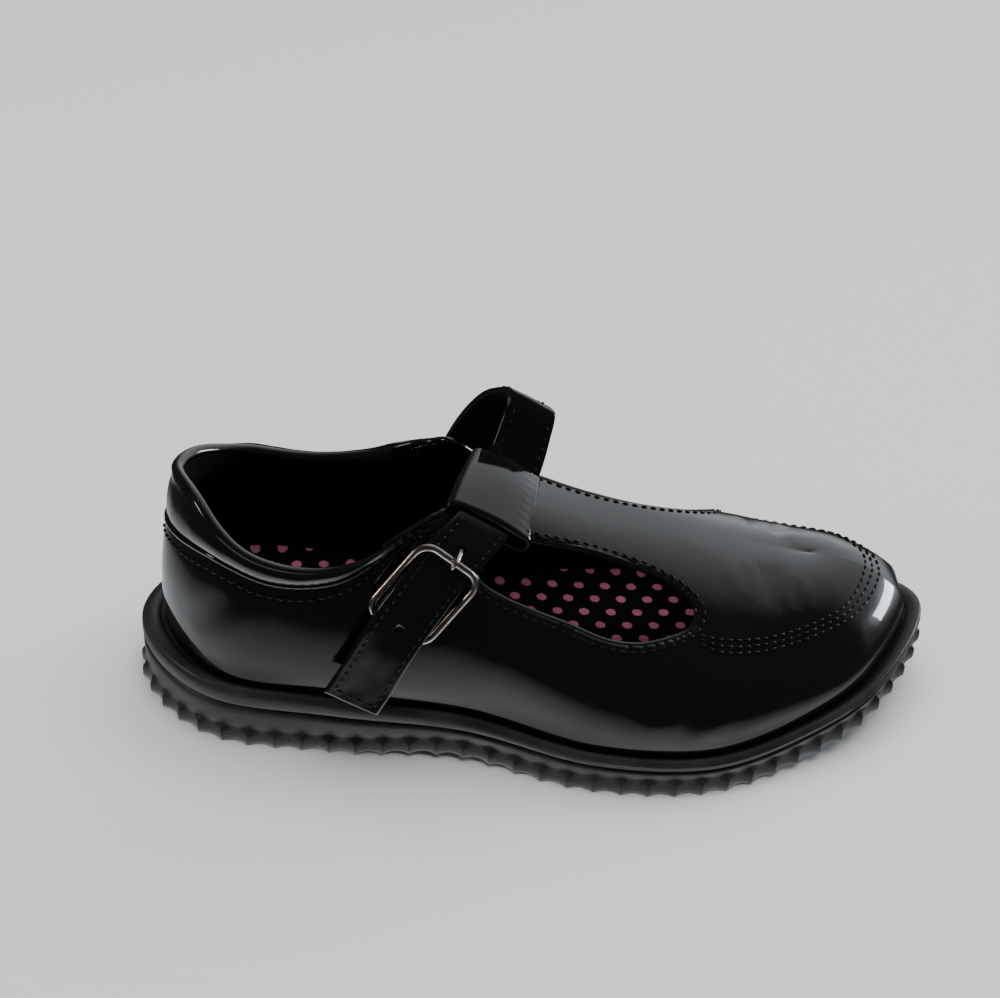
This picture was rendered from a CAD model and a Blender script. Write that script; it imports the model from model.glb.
"""A child's T-bar mary jane in black patent leather, right foot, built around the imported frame.

Lengths in this script are millimetres in the frame's own axes: +X to the toe, +Y to the medial
side, +Z up. Meshes are scaled to metres when they are made.
"""
import math

import bmesh
import bpy
import numpy as np
from mathutils import Matrix, Vector, noise
from mathutils.bvhtree import BVHTree
from mathutils.kdtree import KDTree


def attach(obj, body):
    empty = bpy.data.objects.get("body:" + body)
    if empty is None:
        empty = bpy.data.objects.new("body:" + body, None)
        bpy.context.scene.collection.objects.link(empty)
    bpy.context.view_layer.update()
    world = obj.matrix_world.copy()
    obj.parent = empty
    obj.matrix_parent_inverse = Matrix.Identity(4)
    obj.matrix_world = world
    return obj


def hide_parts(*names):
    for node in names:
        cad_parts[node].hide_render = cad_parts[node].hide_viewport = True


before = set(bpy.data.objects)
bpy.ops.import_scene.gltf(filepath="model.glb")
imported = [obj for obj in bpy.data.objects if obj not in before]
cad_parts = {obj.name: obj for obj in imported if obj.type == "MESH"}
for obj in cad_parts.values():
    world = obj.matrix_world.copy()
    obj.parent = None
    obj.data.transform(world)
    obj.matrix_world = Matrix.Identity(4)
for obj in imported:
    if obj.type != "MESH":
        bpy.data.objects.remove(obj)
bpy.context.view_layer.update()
MM = 0.001

# ------------------------------------------------------------------ sizes shared with the frame
LENGTH = 211.0
TOE_X = LENGTH / 2
TOE_SPRING = 13.0
SPRING_START = 44.0
ARCH_LIFT = 1.6
WALL = 1.8
COLLAR_PAD = 1.5
COLLAR_BACK = 0.5
STRAP_THICKNESS = 2.2
LOOP_INSIDE = 1.4
LOOP_OUTSIDE = 2.7
WIRE = 1.9
PRONG_WIRE = 1.5
SPLIT = 0.66
LUG_PITCH = 7.0
LUG_REACH = 1.3
LUG_HEIGHT = 5.0
STITCH_PITCH = 2.6

# the sole's outline: heel point, then sections, toe point
HEEL_POINT = (-105.5, 2.5)
TOE_POINT = (105.5, 18.0)
OUTLINE = [
    (-99, -14.5, 19.5),
    (-83, -28.0, 29.5),
    (-52, -31.5, 30.5),
    (-18, -32.7, 29.5),
    (15, -41.5, 35.5),
    (44, -40.5, 41.0),
    (70, -28.6, 42.0),
    (91, -13.0, 38.0),
]

LAST_COLUMNS = ("x", "ridge", "ridge_y", "square", "rim", "platform", "inset")
LAST = [
    (-106, 97.0, 0.5, 1.75, 19.0, 17.8, 6.0),
    (-90, 96.0, 0.5, 1.8, 18.6, 17.4, 4.2),
    (-80, 95.0, 0.5, 1.95, 18.3, 17.1, 3.2),
    (-60, 91.0, 0.5, 2.05, 17.5, 16.3, 3.0),
    (-40, 82.0, 1.5, 2.35, 16.1, 14.9, 2.9),
    (-20, 70.0, 4.0, 2.75, 14.6, 13.4, 2.9),
    (0, 61.8, 5.0, 2.65, 12.9, 11.7, 2.9),
    (15, 57.4, 5.0, 2.5, 11.9, 10.7, 2.9),
    (30, 53.5, 5.0, 2.4, 11.3, 10.1, 2.9),
    (49, 48.5, 6.0, 2.3, 10.9, 9.7, 2.9),
    (62, 44.8, 8.2, 2.2, 10.8, 9.6, 3.0),
    (76, 40.8, 11.2, 2.1, 10.7, 9.5, 3.2),
    (106, 37.0, 18.0, 2.0, 10.6, 9.4, 5.0),
]

# edges on the last: share of the way round the sole from the heel, climb from rim to ridge
TOPLINE_LATERAL = [  # heel to the ear under the strap
    (0.0, 0.458), (0.034, 0.468), (0.058, 0.445), (0.072, 0.411), (0.0833, 0.381), (0.096, 0.349),
    (0.109, 0.332), (0.1256, 0.329), (0.1384, 0.341), (0.1484, 0.362), (0.166, 0.433),
    (0.1786, 0.523), (0.1904, 0.629), (0.1967, 0.677),
]
WINDOW_LATERAL = [  # from the ear forwards under the foot, round the throat, back along the T-bar
    (0.2045, 0.63), (0.2127, 0.42), (0.2250, 0.399), (0.2373, 0.401), (0.2595, 0.412),
    (0.2827, 0.404), (0.2974, 0.419), (0.3126, 0.463), (0.3245, 0.515), (0.3290, 0.565),
    (0.3303, 0.620), (0.3258, 0.672), (0.3171, 0.717), (0.3051, 0.752), (0.2879, 0.773),
    (0.2702, 0.778), (0.2529, 0.757), (0.2388, 0.732), (0.2335, 0.722),
]
TOPLINE_MEDIAL = [  # ear to heel
    (0.8069, 0.700), (0.8192, 0.570), (0.8380, 0.435), (0.8625, 0.365), (0.8801, 0.342),
    (0.9009, 0.336), (0.9285, 0.372), (0.9489, 0.415), (0.9700, 0.440), (0.9850, 0.452),
]
WINDOW_MEDIAL = [  # along the T-bar forwards, round the throat, back to the ear
    (0.7690, 0.920), (0.7601, 0.928), (0.7480, 0.937), (0.7348, 0.939), (0.7100, 0.924),
    (0.6884, 0.880), (0.6711, 0.805), (0.6625, 0.720), (0.6635, 0.610), (0.6720, 0.500),
    (0.6919, 0.415), (0.7185, 0.401), (0.7454, 0.423), (0.7679, 0.431), (0.7860, 0.455),
    (0.7950, 0.620),
]
COLLAR_SEAM = [  # the padded collar's lower seam, by signed share: lateral above zero
    (-0.188, 0.575), (-0.162, 0.405), (-0.148, 0.335), (-0.128, 0.290), (-0.103, 0.285),
    (-0.088, 0.300), (-0.067, 0.312), (-0.042, 0.312), (0.0, 0.302), (0.042, 0.318),
    (0.067, 0.320), (0.088, 0.300), (0.103, 0.280), (0.128, 0.282), (0.148, 0.322),
    (0.162, 0.390), (0.188, 0.590),
]
APRON_INNER = [
    (0.3290, 0.512), (0.3400, 0.502), (0.3503, 0.500), (0.3713, 0.501), (0.3950, 0.510),
    (0.4229, 0.534), (0.4462, 0.549), (0.4725, 0.585), (0.5010, 0.622), (0.5300, 0.622),
    (0.5600, 0.600), (0.5900, 0.570), (0.6200, 0.545), (0.6450, 0.525), (0.6600, 0.520),
]
APRON_OUTER = [
    (0.3300, 0.480), (0.3400, 0.452), (0.3523, 0.445), (0.3732, 0.445), (0.3962, 0.454),
    (0.4224, 0.470), (0.4493, 0.472), (0.4753, 0.482), (0.5040, 0.508), (0.5369, 0.522),
    (0.5600, 0.512), (0.5900, 0.490), (0.6200, 0.470), (0.6450, 0.455), (0.6600, 0.462),
]

LOOP = [
    (-16.2, -4.4, 57.2, -26.0, 69.2),
    (-8.0, -3.4, 59.0, -24.2, 70.0),
    (0.0, -2.5, 60.2, -22.2, 70.3),
    (8.2, -1.8, 60.2, -20.0, 70.0),
]

# middle surface of the ankle strap: its rear and front edge at each bend, loose end first
STRAP = [
    ("tip", (-54.0, -35.2, 24.0), (-40.2, -37.4, 19.0)),
    ("low", (-48.6, -35.4, 35.0), (-36.0, -36.6, 27.4)),
    ("hinge bar", (-42.4, -34.6, 48.4), (-31.2, -35.0, 37.6)),
    ("buckle", (-36.0, -31.0, 57.6), (-24.8, -31.2, 47.4)),
    ("top bar", (-30.2, -25.4, 64.0), (-18.2, -26.2, 55.0)),
    ("into loop", (-23.1, -16.2, 67.7), (-10.1, -16.2, 60.3)),
    ("in loop", (-19.7, -4.0, 68.5), (-6.4, -4.0, 61.5)),
    ("out of loop", (-16.1, 8.2, 67.9), (-2.9, 8.2, 60.8)),
    ("rise", (-13.6, 12.8, 74.0), (-0.6, 13.2, 67.2)),
    ("crease", (-11.6, 17.4, 81.8), (0.4, 18.4, 74.6)),
    ("over", (-15.4, 23.2, 79.4), (-2.6, 25.2, 73.0)),
    ("medial ear", (-23.8, 25.8, 68.6), (-10.4, 27.8, 61.4)),
    ("medial quarter", (-29.0, 26.9, 56.0), (-15.6, 28.0, 48.6)),
    ("end", (-33.0, 28.1, 43.6), (-19.6, 28.5, 36.4)),
]
STRAP_HOLES = [-0.14, 0.024, 0.12]  # share of the strap beyond the top bar: spare, prong, spare
BUCKLE_WIDTH = 20.2
BUCKLE_CORNER = 4.2


# ------------------------------------------------------------------ curves
def natural_spline(xs, ys):
    """A natural cubic spline through the points, held at its ends."""
    xs = np.asarray(xs, float)
    ys = np.asarray(ys, float)
    count = len(xs)
    gaps = np.diff(xs)
    system = np.eye(count)
    right = np.zeros(count)
    for i in range(1, count - 1):
        system[i, i - 1:i + 2] = gaps[i - 1], 2 * (gaps[i - 1] + gaps[i]), gaps[i]
        right[i] = 6 * ((ys[i + 1] - ys[i]) / gaps[i] - (ys[i] - ys[i - 1]) / gaps[i - 1])
    second = np.linalg.solve(system, right)

    def at(value):
        x = np.clip(value, xs[0], xs[-1])
        i = np.clip(np.searchsorted(xs, x) - 1, 0, count - 2)
        step = xs[i + 1] - xs[i]
        b = (x - xs[i]) / step
        a = 1 - b
        bend = ((a**3 - a) * second[i] + (b**3 - b) * second[i + 1]) * step**2 / 6
        return a * ys[i] + b * ys[i + 1] + bend

    return at


def centripetal(points, closed, per_span):
    """Points along a centripetal Catmull-Rom curve."""
    p = np.asarray(points, float)
    count = len(p)
    if closed:
        knots = np.vstack([p[-1], p, p[0], p[1]])
    else:
        knots = np.vstack([2 * p[0] - p[1], p, 2 * p[-1] - p[-2]])
    out = []
    t = (np.arange(per_span) / per_span)[:, None]
    for i in range(count if closed else count - 1):
        p0, p1, p2, p3 = knots[i:i + 4]
        d0, d1, d2 = [max(np.linalg.norm(b - a), 1e-9) ** 0.5 for a, b in ((p0, p1), (p1, p2), (p2, p3))]
        t1 = ((p1 - p0) / d0 - (p2 - p0) / (d0 + d1) + (p2 - p1) / d1) * d1
        t2 = ((p2 - p1) / d1 - (p3 - p1) / (d1 + d2) + (p3 - p2) / d2) * d1
        cubic = 2 * p1 - 2 * p2 + t1 + t2
        square = -3 * p1 + 3 * p2 - 2 * t1 - t2
        out.append(p1 + t1 * t + square * t**2 + cubic * t**3)
    if not closed:
        out.append(p[-1:])
    return np.vstack(out)


def run_lengths(points):
    return np.concatenate([[0], np.cumsum(np.linalg.norm(np.diff(points, axis=0), axis=1))])


def resampled(points, count):
    """The polyline with count points at even distances."""
    runs = run_lengths(points)
    at = np.linspace(0, runs[-1], count)
    return np.column_stack([np.interp(at, runs, points[:, k]) for k in range(points.shape[1])])


def unit(vectors):
    return vectors / np.maximum(np.linalg.norm(vectors, axis=-1, keepdims=True), 1e-12)


def column(table, names, name):
    rows = np.array(table, float)
    return natural_spline(rows[:, 0], rows[:, names.index(name)])


def smooth_step(value, low, high):
    t = np.clip((value - low) / (high - low), 0, 1)
    return t * t * (3 - 2 * t)


# ------------------------------------------------------------------ the last
ridge_height = column(LAST, LAST_COLUMNS, "ridge")
ridge_side = column(LAST, LAST_COLUMNS, "ridge_y")
squareness = column(LAST, LAST_COLUMNS, "square")
rim_table = column(LAST, LAST_COLUMNS, "rim")
platform_table = column(LAST, LAST_COLUMNS, "platform")
edge_inset = column(LAST, LAST_COLUMNS, "inset")

RIDGE_BACK = -77.0
RIDGE_FRONT = 76.0
GATHER = 30.0


def spring(x):
    return TOE_SPRING * (np.maximum(0, x - SPRING_START) / (TOE_X - SPRING_START)) ** 2


def ground_height(x):
    across = (x + 22) / 26
    arch = np.where(np.abs(across) < 1, ARCH_LIFT * (1 - across**2) ** 2, 0)
    return spring(x) + arch


def rim_height(x):
    return rim_table(x) + spring(x)


def platform_height(x):
    return platform_table(x) + spring(x)


def split_height(x):
    return SPLIT * rim_table(x) + spring(x)


LATERAL_SIDE = [(row[0], row[1]) for row in OUTLINE]
MEDIAL_SIDE = [(row[0], row[2]) for row in reversed(OUTLINE)]
OUTLINE_LOOP = centripetal([HEEL_POINT, *LATERAL_SIDE, TOE_POINT, *MEDIAL_SIDE], True, 300)
OUTLINE_LOOP = np.vstack([OUTLINE_LOOP, OUTLINE_LOOP[:1]])
OUTLINE_RUNS = run_lengths(OUTLINE_LOOP)
PERIMETER = OUTLINE_RUNS[-1]


def outline_at(share, inwards):
    """A point of the sole's outline, moved inwards by a length or by a function of x."""
    run = np.mod(share, 1) * PERIMETER
    point = [np.interp(run, OUTLINE_RUNS, OUTLINE_LOOP[:, k]) for k in (0, 1)]
    ahead = [np.interp(np.mod(run + 0.5, PERIMETER), OUTLINE_RUNS, OUTLINE_LOOP[:, k]) for k in (0, 1)]
    behind = [np.interp(np.mod(run - 0.5, PERIMETER), OUTLINE_RUNS, OUTLINE_LOOP[:, k]) for k in (0, 1)]
    along = unit(np.stack([ahead[0] - behind[0], ahead[1] - behind[1]], -1))
    move = inwards(point[0]) if callable(inwards) else inwards
    return np.stack([point[0] - along[..., 1] * move, point[1] + along[..., 0] * move], -1)


def ridge_station(x):
    start = RIDGE_FRONT - GATHER
    front = start + GATHER * (1 - np.exp((start - x) / GATHER))
    back = RIDGE_BACK + (x - RIDGE_BACK) * 0.18
    return np.where(x < RIDGE_BACK, back, np.where(x > start, front, x))


def last_point(share, climb, grow):
    """A point of the last: share round it, climb from rim (0) to ridge (1), grown outwards."""
    share, climb, grow = np.broadcast_arrays(*[np.asarray(v, float) for v in (share, climb, grow)])
    foot = outline_at(share, lambda x: edge_inset(x) - grow)
    station = ridge_station(foot[..., 0])
    base = rim_height(foot[..., 0])
    power = 2 / squareness(foot[..., 0])
    angle = np.clip(climb, 0, 1) * math.pi / 2
    outwards = np.maximum(np.cos(angle), 0) ** power
    upwards = np.sin(angle) ** power
    away_x = foot[..., 0] - station
    away_y = foot[..., 1] - ridge_side(station)
    reach = np.maximum(np.hypot(away_x, away_y), 1e-6)
    bulge = np.where(upwards < 0.75, np.sin(math.pi * upwards / 0.75), 0)
    scale = outwards + bulge / reach
    height = base + (ridge_height(station) + grow - base) * upwards
    below = np.minimum(climb, 0) * 12
    return np.stack([station + away_x * scale, ridge_side(station) + away_y * scale, height + below], -1)


def last_frame(share, climb, grow):
    """Place, outward direction and upward direction along the last's surface."""
    place = last_point(share, climb, grow)
    step = 0.004
    upward = unit(last_point(share, climb + step, grow) - last_point(share, climb - step, grow))
    onward = unit(last_point(share + step, climb, grow) - last_point(share - step, climb, grow))
    return place, unit(np.cross(onward, upward)), upward


# ------------------------------------------------------------------ meshes
def put(name, vertices, faces, materials, slot="patent", closed=True):
    """A mesh object from millimetre vertices; a closed one gets its faces turned outwards."""
    mesh = bpy.data.meshes.new(name)
    mesh.from_pydata((np.asarray(vertices, float) * MM).tolist(), [], [tuple(map(int, f)) for f in faces])
    mesh.validate()
    if closed:
        shape = bmesh.new()
        shape.from_mesh(mesh)
        bmesh.ops.recalc_face_normals(shape, faces=shape.faces)
        shape.to_mesh(mesh)
        shape.free()
    piece = bpy.data.objects.new(name, mesh)
    bpy.context.scene.collection.objects.link(piece)
    for material in materials:
        mesh.materials.append(material)
    mesh.polygons.foreach_set("use_smooth", [True] * len(mesh.polygons))
    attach(piece, "root")
    return piece


def welded(vertices, faces, near=0.004):
    """Joins vertices closer than near and drops faces that collapse."""
    keys = np.round(np.asarray(vertices) / near).astype(np.int64)
    _, first, inverse = np.unique(keys, axis=0, return_index=True, return_inverse=True)
    inverse = inverse.reshape(-1)
    kept = []
    for face in faces:
        ring = []
        for corner in inverse[list(face)]:
            if corner not in ring:
                ring.append(int(corner))
        if len(ring) > 2:
            kept.append(ring)
    return np.asarray(vertices)[first], kept


def grid_faces(rows, columns, closed_rows=False, closed_columns=False, offset=0):
    """Quads of a grid stored row by row."""
    faces = []
    for i in range(rows if closed_rows else rows - 1):
        for j in range(columns if closed_columns else columns - 1):
            a = i * columns + j
            b = i * columns + (j + 1) % columns
            c = ((i + 1) % rows) * columns + (j + 1) % columns
            d = ((i + 1) % rows) * columns + j
            faces.append((a + offset, b + offset, c + offset, d + offset))
    return faces


def tube(path, radius, sides, closed=False, taper=None):
    """Vertices and faces of a round tube along a path, with the frame carried along it."""
    path = np.asarray(path, float)
    count = len(path)
    if closed:
        tangent = unit(np.roll(path, -1, 0) - np.roll(path, 1, 0))
    else:
        tangent = unit(np.gradient(path, axis=0))
    side = unit(np.cross(tangent[0], (0.31, 0.17, 0.94)))
    sides_along = []
    for t in tangent:
        side = unit(side - t * (side @ t))
        sides_along.append(side)
    side = np.array(sides_along)
    other = np.cross(tangent, side)
    angle = np.arange(sides) * 2 * math.pi / sides
    scale = np.ones(count) if taper is None else taper
    ring = side[:, None] * np.cos(angle)[None, :, None] + other[:, None] * np.sin(angle)[None, :, None]
    vertices = (path[:, None] + ring * (radius * scale)[:, None, None]).reshape(-1, 3)
    faces = grid_faces(count, sides, closed, True)
    if not closed:
        faces.append(tuple(range(sides))[::-1])
        faces.append(tuple(range((count - 1) * sides, count * sides)))
    return vertices, faces


def surface_of(piece):
    """A search tree over a piece's own mesh, in millimetres."""
    vertices = [tuple(v.co / MM) for v in piece.data.vertices]
    return BVHTree.FromPolygons(vertices, [tuple(p.vertices) for p in piece.data.polygons])


def stitch_row(path, normals, pitch=STITCH_PITCH, length=1.75, radius=0.3, lift=0.2):
    """Stitches along a path: short threads that rise from the leather and sink back into it."""
    runs = run_lengths(path)
    count = max(2, int(runs[-1] / pitch))
    centres = (np.arange(count) + 0.5) * runs[-1] / count
    at = lambda data, run: np.array([np.interp(run, runs, data[:, k]) for k in range(3)])
    vertices = []
    faces = []
    shares = np.array([0.0, 0.12, 0.32, 0.5, 0.68, 0.88, 1.0])
    widths = np.array([0.35, 0.8, 1.0, 1.0, 1.0, 0.8, 0.35])
    for centre in centres:
        thread = []
        for share in shares:
            run = centre + (share - 0.5) * length
            normal = unit(at(normals, run))
            rise = -0.22 + (lift + 0.22) * math.sin(math.pi * share) ** 0.6
            thread.append(at(path, run) + normal * rise)
        part, part_faces = tube(np.array(thread), radius, 6, taper=widths)
        faces += [tuple(v + len(vertices) for v in face) for face in part_faces]
        vertices += part.tolist()
    return vertices, faces


def joined(parts):
    vertices = []
    faces = []
    for part, part_faces in parts:
        offset = len(vertices)
        vertices += [tuple(v) for v in part]
        faces += [tuple(c + offset for c in face) for face in part_faces]
    return vertices, faces


# ------------------------------------------------------------------ materials
def new_material(name):
    material = bpy.data.materials.new(name)
    material.use_nodes = True
    nodes = material.node_tree.nodes
    shader = nodes["Principled BSDF"]
    return material, nodes, material.node_tree.links, shader


def texture(nodes, links, kind, scale, detail=2.0):
    """A noise or wave texture in the frame's own coordinates, in metres."""
    place = nodes.new("ShaderNodeTexCoord")
    node = nodes.new(kind)
    node.inputs["Scale"].default_value = scale
    if "Detail" in node.inputs:
        node.inputs["Detail"].default_value = detail
    links.new(place.outputs["Object"], node.inputs["Vector"])
    return node


def mapped(nodes, links, source, low, high, to_low, to_high):
    node = nodes.new("ShaderNodeMapRange")
    node.inputs["From Min"].default_value = low
    node.inputs["From Max"].default_value = high
    node.inputs["To Min"].default_value = to_low
    node.inputs["To Max"].default_value = to_high
    links.new(source, node.inputs["Value"])
    return node.outputs["Result"]


def bumped(nodes, links, shader, sources):
    """Chains bumps, each (height output, distance in metres, strength)."""
    last = None
    for height, distance, strength in sources:
        bump = nodes.new("ShaderNodeBump")
        bump.inputs["Distance"].default_value = distance
        bump.inputs["Strength"].default_value = strength
        links.new(height, bump.inputs["Height"])
        if last is not None:
            links.new(last.outputs["Normal"], bump.inputs["Normal"])
        last = bump
    links.new(last.outputs["Normal"], shader.inputs["Normal"])


def patent_leather():
    """Black leather under a clear, slightly uneven coat with rubbed patches."""
    material, nodes, links, shader = new_material("patent_leather")
    shader.inputs["Base Color"].default_value = (0.0045, 0.0045, 0.005, 1)
    shader.inputs["Specular IOR Level"].default_value = 0.12
    shader.inputs["Coat Weight"].default_value = 1.0
    shader.inputs["Coat Roughness"].default_value = 0.03
    shader.inputs["Coat IOR"].default_value = 1.5
    swell = texture(nodes, links, "ShaderNodeTexNoise", 55, 2)
    grain = texture(nodes, links, "ShaderNodeTexNoise", 620, 3)
    rubbed = texture(nodes, links, "ShaderNodeTexNoise", 38, 6)
    links.new(mapped(nodes, links, rubbed.outputs["Fac"], 0.42, 0.68, 0.10, 0.30), shader.inputs["Roughness"])
    bumped(nodes, links, shader, [
        (swell.outputs["Fac"], 0.0010, 0.30),
        (grain.outputs["Fac"], 0.00008, 0.15),
    ])
    return material


def lining_cloth(name="lining", tone=0.0045):
    """Black brushed cloth."""
    material, nodes, links, shader = new_material(name)
    fuzz = texture(nodes, links, "ShaderNodeTexNoise", 900, 6)
    patches = texture(nodes, links, "ShaderNodeTexNoise", 70, 4)
    ramp = nodes.new("ShaderNodeMix")
    ramp.data_type = "RGBA"
    ramp.inputs["A"].default_value = (tone * 0.6, tone * 0.6, tone * 0.62, 1)
    ramp.inputs["B"].default_value = (tone * 1.7, tone * 1.65, tone * 1.6, 1)
    links.new(patches.outputs["Fac"], ramp.inputs["Factor"])
    links.new(ramp.outputs["Result"], shader.inputs["Base Color"])
    shader.inputs["Roughness"].default_value = 0.92
    shader.inputs["Specular IOR Level"].default_value = 0.2
    bumped(nodes, links, shader, [(fuzz.outputs["Fac"], 0.0005, 0.7)])
    return material


def sole_rubber():
    """Black moulded rubber, satin, with a fine mould texture and dusty patches."""
    material, nodes, links, shader = new_material("sole_rubber")
    pores = texture(nodes, links, "ShaderNodeTexNoise", 1100, 3)
    dust = texture(nodes, links, "ShaderNodeTexNoise", 60, 6)
    mix = nodes.new("ShaderNodeMix")
    mix.data_type = "RGBA"
    mix.inputs["A"].default_value = (0.017, 0.017, 0.018, 1)
    mix.inputs["B"].default_value = (0.038, 0.037, 0.036, 1)
    links.new(mapped(nodes, links, dust.outputs["Fac"], 0.4, 0.75, 0, 1), mix.inputs["Factor"])
    links.new(mix.outputs["Result"], shader.inputs["Base Color"])
    links.new(mapped(nodes, links, dust.outputs["Fac"], 0.3, 0.7, 0.36, 0.56), shader.inputs["Roughness"])
    bumped(nodes, links, shader, [(pores.outputs["Fac"], 0.00018, 0.45)])
    return material


def sewing_thread():
    """Black waxed thread with its twist."""
    material, nodes, links, shader = new_material("thread")
    shader.inputs["Base Color"].default_value = (0.006, 0.006, 0.0062, 1)
    shader.inputs["Specular IOR Level"].default_value = 0.35
    shader.inputs["Roughness"].default_value = 0.36
    twist = texture(nodes, links, "ShaderNodeTexNoise", 2600, 2)
    bumped(nodes, links, shader, [(twist.outputs["Fac"], 0.00012, 0.6)])
    return material


def buckle_nickel():
    """Warm grey nickel wire with dull patches and fine scratches."""
    material, nodes, links, shader = new_material("buckle_nickel")
    shader.inputs["Metallic"].default_value = 1.0
    patina = texture(nodes, links, "ShaderNodeTexNoise", 330, 5)
    scratches = texture(nodes, links, "ShaderNodeTexNoise", 1900, 4)
    mix = nodes.new("ShaderNodeMix")
    mix.data_type = "RGBA"
    mix.inputs["A"].default_value = (0.60, 0.55, 0.50, 1)
    mix.inputs["B"].default_value = (0.26, 0.22, 0.19, 1)
    links.new(mapped(nodes, links, patina.outputs["Fac"], 0.42, 0.72, 0, 1), mix.inputs["Factor"])
    links.new(mix.outputs["Result"], shader.inputs["Base Color"])
    links.new(mapped(nodes, links, patina.outputs["Fac"], 0.3, 0.7, 0.18, 0.36), shader.inputs["Roughness"])
    bumped(nodes, links, shader, [(scratches.outputs["Fac"], 0.00006, 0.35)])
    return material


DOT_PITCH = 7.4
DOT_ROWS = 5.5
DOT_SIZE = 2.75
DOT_TURN = -7.0


def math_node(nodes, links, operation, first, second=None):
    node = nodes.new("ShaderNodeMath")
    node.operation = operation
    for index, value in enumerate((first, second)):
        if value is None:
            continue
        if isinstance(value, (int, float)):
            node.inputs[index].default_value = value
        else:
            links.new(value, node.inputs[index])
    return node.outputs["Value"]


def dot_distance(nodes, links, along, across, shift):
    """Distance in millimetres to the nearest dot of one half of a staggered pattern."""
    parts = []
    for value, pitch in ((along, DOT_PITCH), (across, 2 * DOT_ROWS)):
        moved = math_node(nodes, links, "ADD", value, shift * pitch)
        cell = math_node(nodes, links, "DIVIDE", moved, pitch)
        near = math_node(nodes, links, "ROUND", cell)
        off = math_node(nodes, links, "SUBTRACT", cell, near)
        length = math_node(nodes, links, "MULTIPLY", off, pitch)
        parts.append(math_node(nodes, links, "MULTIPLY", length, length))
    return math_node(nodes, links, "SQRT", math_node(nodes, links, "ADD", *parts))


def dotted_cloth():
    """Black sock cloth printed with staggered dusty pink dots, worn a little."""
    material, nodes, links, shader = new_material("dotted_insole")
    place = nodes.new("ShaderNodeTexCoord")
    turn = nodes.new("ShaderNodeMapping")
    turn.inputs["Rotation"].default_value[2] = math.radians(DOT_TURN)
    turn.inputs["Scale"].default_value = (1000, 1000, 1000)
    links.new(place.outputs["Object"], turn.inputs["Vector"])
    split = nodes.new("ShaderNodeSeparateXYZ")
    links.new(turn.outputs["Vector"], split.inputs["Vector"])
    weave = texture(nodes, links, "ShaderNodeTexNoise", 1500, 3)
    wear = texture(nodes, links, "ShaderNodeTexNoise", 120, 5)
    one = dot_distance(nodes, links, split.outputs["X"], split.outputs["Y"], 0.0)
    two = dot_distance(nodes, links, split.outputs["X"], split.outputs["Y"], 0.5)
    nearest = math_node(nodes, links, "MINIMUM", one, two)
    fray = mapped(nodes, links, weave.outputs["Fac"], 0, 1, -0.3, 0.3)
    rough = math_node(nodes, links, "MULTIPLY", fray, 1.0)
    edge = math_node(nodes, links, "ADD", nearest, rough)
    half = DOT_SIZE / 2
    inside = mapped(nodes, links, edge, half + 0.12, half - 0.12, 0, 1)
    rubbed = mapped(nodes, links, wear.outputs["Fac"], 0.3, 0.7, 1, 0.75)
    worn = math_node(nodes, links, "MULTIPLY", inside, rubbed)
    mix = nodes.new("ShaderNodeMix")
    mix.data_type = "RGBA"
    mix.inputs["A"].default_value = (0.004, 0.0033, 0.0036, 1)
    mix.inputs["B"].default_value = (0.38, 0.105, 0.17, 1)
    links.new(worn, mix.inputs["Factor"])
    links.new(mix.outputs["Result"], shader.inputs["Base Color"])
    shader.inputs["Specular IOR Level"].default_value = 0.15
    shader.inputs["Roughness"].default_value = 0.85
    bumped(nodes, links, shader, [(weave.outputs["Fac"], 0.0002, 0.6)])
    return material


def floor_paint():
    material, nodes, links, shader = new_material("floor")
    tone = texture(nodes, links, "ShaderNodeTexNoise", 3, 2)
    mix = nodes.new("ShaderNodeMix")
    mix.data_type = "RGBA"
    mix.inputs["A"].default_value = (0.84, 0.84, 0.845, 1)
    mix.inputs["B"].default_value = (0.87, 0.87, 0.87, 1)
    links.new(tone.outputs["Fac"], mix.inputs["Factor"])
    links.new(mix.outputs["Result"], shader.inputs["Base Color"])
    shader.inputs["Roughness"].default_value = 0.75
    return material


PATENT = patent_leather()
LINING = lining_cloth()
SUEDE = lining_cloth("strap_lining", 0.012)
RUBBER = sole_rubber()
THREAD = sewing_thread()
NICKEL = buckle_nickel()
DOTS = dotted_cloth()


# ------------------------------------------------------------------ upper
SECTIONS = 320
CLIMBS = 62
COLLAR_STEP = 1.0  # the padded collar lies this far inside the quarters' folded edge
COLLAR_END = 0.186  # the padded collar ends at this share on both sides
EDGE_DROP = 0.022  # the wall stops this much lower where the collar covers it


def paired_shares():
    """Lateral and medial shares whose feet stand at the same x, heel to toe."""
    lateral = np.linspace(0, 0.5, SECTIONS + 1)
    fine = np.linspace(0.5, 1, 6000)
    feet = outline_at(fine, edge_inset)[:, 0]
    order = np.argsort(feet)
    wanted = outline_at(lateral, edge_inset)[:, 0]
    medial = np.interp(wanted, feet[order], fine[order])
    medial[0] = 1.0
    medial[-1] = 0.5
    return lateral, medial


def inside_polygon(points, polygon):
    x, y = points[:, 0], points[:, 1]
    inside = np.zeros(len(points), bool)
    for (x1, y1), (x2, y2) in zip(polygon, np.roll(polygon, -1, 0)):
        crosses = (y1 > y) != (y2 > y)
        with np.errstate(divide="ignore", invalid="ignore"):
            inside ^= crosses & (x < (x2 - x1) * (y - y1) / (y2 - y1) + x1)
    return inside


CHART = np.array([PERIMETER, 90.0])  # turns shares and climbs into rough millimetres


def smooth_edge(rows, per_span=24):
    return centripetal(np.array(rows) * CHART, False, per_span) / CHART


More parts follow.
